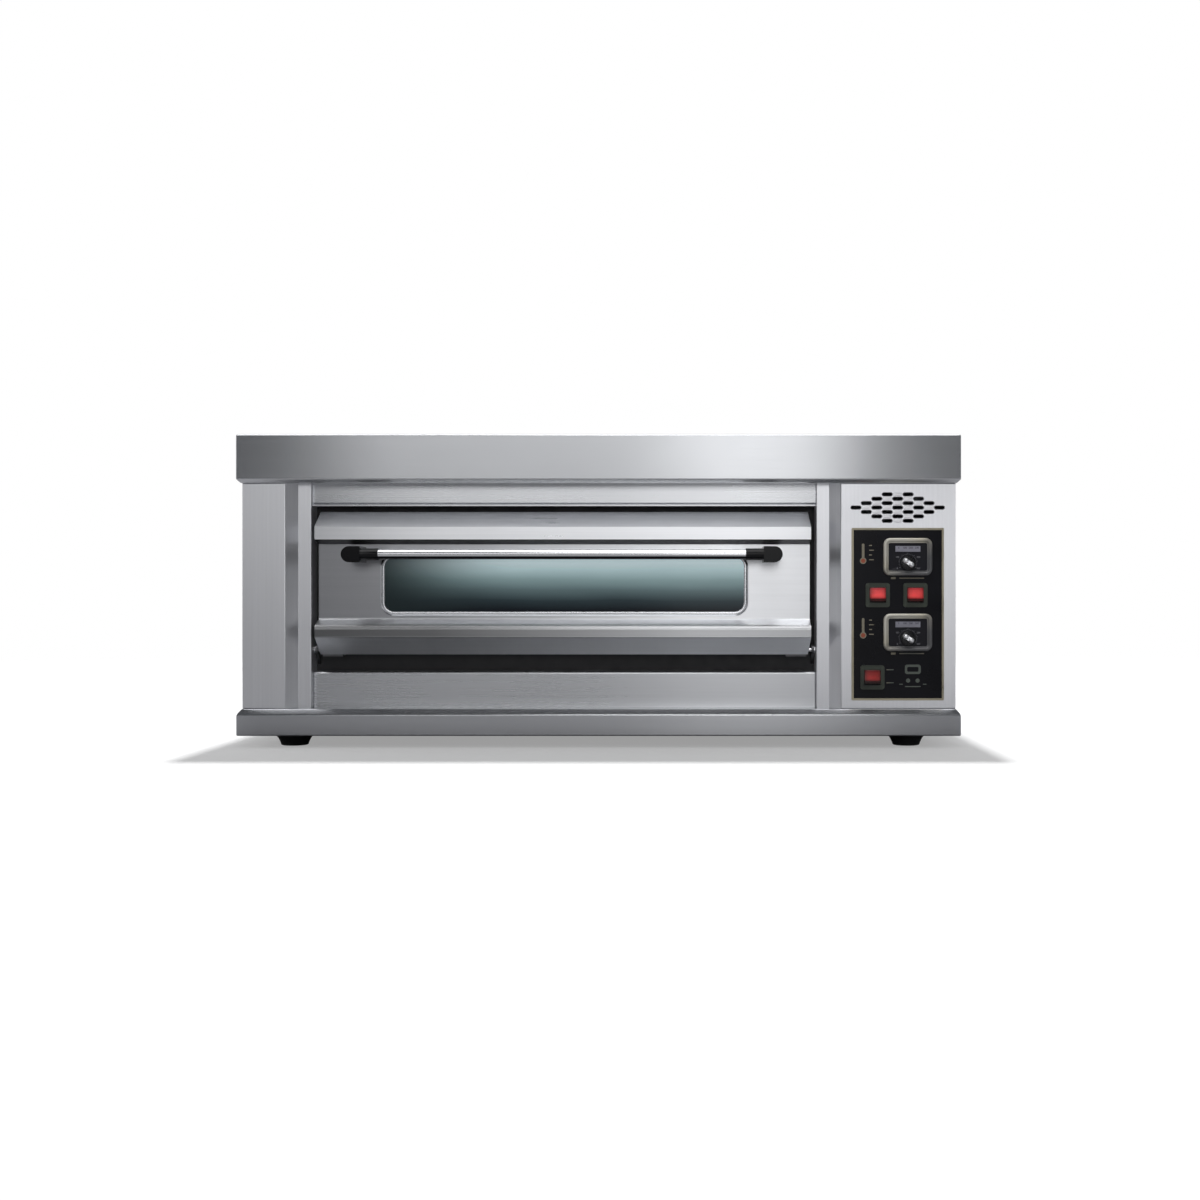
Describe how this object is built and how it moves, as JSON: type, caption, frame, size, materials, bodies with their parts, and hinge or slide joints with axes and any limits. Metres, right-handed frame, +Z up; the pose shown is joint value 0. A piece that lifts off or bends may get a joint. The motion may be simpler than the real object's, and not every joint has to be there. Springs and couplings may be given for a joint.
{
  "type": "deck oven",
  "caption": "Single-deck electric baking oven in brushed steel with a drop-down glazed door, bar handle and a control column with dials and rockers.",
  "frame": {"origin": "middle of the overall box, at the bottom of the feet", "axes": "+X to the viewer's right facing the door, +Y towards the back, +Z up; the front faces -Y"},
  "size_m": [1.22, 0.815, 0.528],
  "materials": {
    "crown_steel": "satin brushed, grain across",
    "body_steel": "satin brushed, grain upright",
    "front_steel": "satin brushed, grain across",
    "door_steel": "satin brushed, grain across",
    "chamber_steel": "dull, heat tinted",
    "galvanised": "dull zinc",
    "black_rail": "semi-gloss black enamel",
    "hinge_iron": "blackened",
    "bright_steel": "polished",
    "screw_steel": "bright zinc",
    "foot_rubber": "matte black",
    "gasket_fibre": "woven glass rope",
    "wool": "mineral wool",
    "rod_sheath": "oxidised alloy sheath",
    "ceramic": "glazed bead",
    "probe_steel": "satin",
    "lamp_glass": "frosted dome",
    "duct_steel": "satin",
    "gland_plastic": "matte black",
    "brass_stud": "machined",
    "gear_plastic": "matte grey",
    "wire_sleeve": "silicone sleeve",
    "overlay_film": "gloss black film",
    "gold_line": "printed gold edge",
    "print_ink": "pale gold ink",
    "controller_black": "fine matte",
    "bezel_champagne": "metallic champagne",
    "scale_grey": "printed strip under a window",
    "switch_black": "semi-gloss",
    "rocker_red": "translucent red",
    "knob_black": "gloss black",
    "grip_bright": "bright metal",
    "handle_plastic": "gloss black phenolic",
    "handle_chrome": "polished",
    "window_trim": "bright formed rim",
    "window_glass": "grey-green heat-resistant glass",
    "inner_glass": "heat-resistant glass"
  },
  "bodies": {
    "oven": {"base_plinth": "crown_steel", "rubber_feet": "foot_rubber", "foot_bolts": "screw_steel", "crown_cover": "crown_steel", "left_side_panel": "body_steel", "right_side_panel": "body_steel", "back_panel": "galvanised", "left_pillar": "body_steel", "control_fascia": "body_steel", "top_fascia": "front_steel", "kick_panel": "front_steel", "hinge_rail": "black_rail", "front_frame": "chamber_steel", "deck_plate": "chamber_steel", "chamber_base": "chamber_steel", "chamber_roof": "chamber_steel", "chamber_sides": "chamber_steel", "chamber_back": "chamber_steel", "compartment_wall": "galvanised", "chamber_insulation": "wool", "upper_elements": "rod_sheath", "lower_elements": "rod_sheath", "chamber_supports": "chamber_steel", "element_terminals": "ceramic", "thermocouples": "probe_steel", "lamp_housing": "probe_steel", "lamp_lens": "lamp_glass", "steam_duct": "duct_steel", "cable_gland": "gland_plastic", "bonding_stud": "brass_stud", "panel_screws": "screw_steel", "contactors": "gear_plastic", "wiring_loom": "wire_sleeve", "control_overlay": "overlay_film", "overlay_trim": "gold_line", "overlay_print": "print_ink", "controller_bodies": "controller_black", "controller_bezels": "bezel_champagne", "scale_strips": "scale_grey", "switch_housings": "switch_black", "hinge_brackets": "hinge_iron", "hinge_pins": "bright_steel"},
    "door": {"door_panel": "door_steel", "door_liner": "chamber_steel", "door_insulation": "wool", "window_bezel": "window_trim", "outer_glass": "window_glass", "inner_glass": "inner_glass", "door_gasket": "gasket_fibre", "handle_rod": "handle_chrome", "handle_ends": "handle_plastic", "handle_screws": "screw_steel", "hinge_knuckles": "hinge_iron"},
    "upper_dial": {"upper_knob": "knob_black", "upper_grip": "grip_bright"},
    "lower_dial": {"lower_knob": "knob_black", "lower_grip": "grip_bright"},
    "left_switch": {"left_rocker": "rocker_red"},
    "right_switch": {"right_rocker": "rocker_red"},
    "lamp_switch": {"lamp_rocker": "rocker_red"}
  },
  "joints": [
    {"name": "door_hinge", "type": "hinge", "parent": "oven", "child": "door", "pos_m": [-0.061, -0.335, 0.163], "axis": [1, 0, 0], "range_deg": [0, 90], "stiffness_Nm_per_rad": 3, "springref_deg": -40.11},
    {"name": "upper_knob_turn", "type": "hinge", "parent": "oven", "child": "upper_dial", "pos_m": [0.5215, -0.386, 0.3115], "axis": [0, 1, 0], "range_deg": [0, 300]},
    {"name": "lower_knob_turn", "type": "hinge", "parent": "oven", "child": "lower_dial", "pos_m": [0.5215, -0.386, 0.184], "axis": [0, 1, 0], "range_deg": [0, 300]},
    {"name": "left_rocker_tip", "type": "hinge", "parent": "oven", "child": "left_switch", "pos_m": [0.471, -0.38, 0.257], "axis": [1, 0, 0], "range_deg": [0, 16]},
    {"name": "right_rocker_tip", "type": "hinge", "parent": "oven", "child": "right_switch", "pos_m": [0.5345, -0.38, 0.257], "axis": [1, 0, 0], "range_deg": [0, 16]},
    {"name": "lamp_rocker_tip", "type": "hinge", "parent": "oven", "child": "lamp_switch", "pos_m": [0.462, -0.38, 0.118], "axis": [1, 0, 0], "range_deg": [0, 16]}
  ]
}
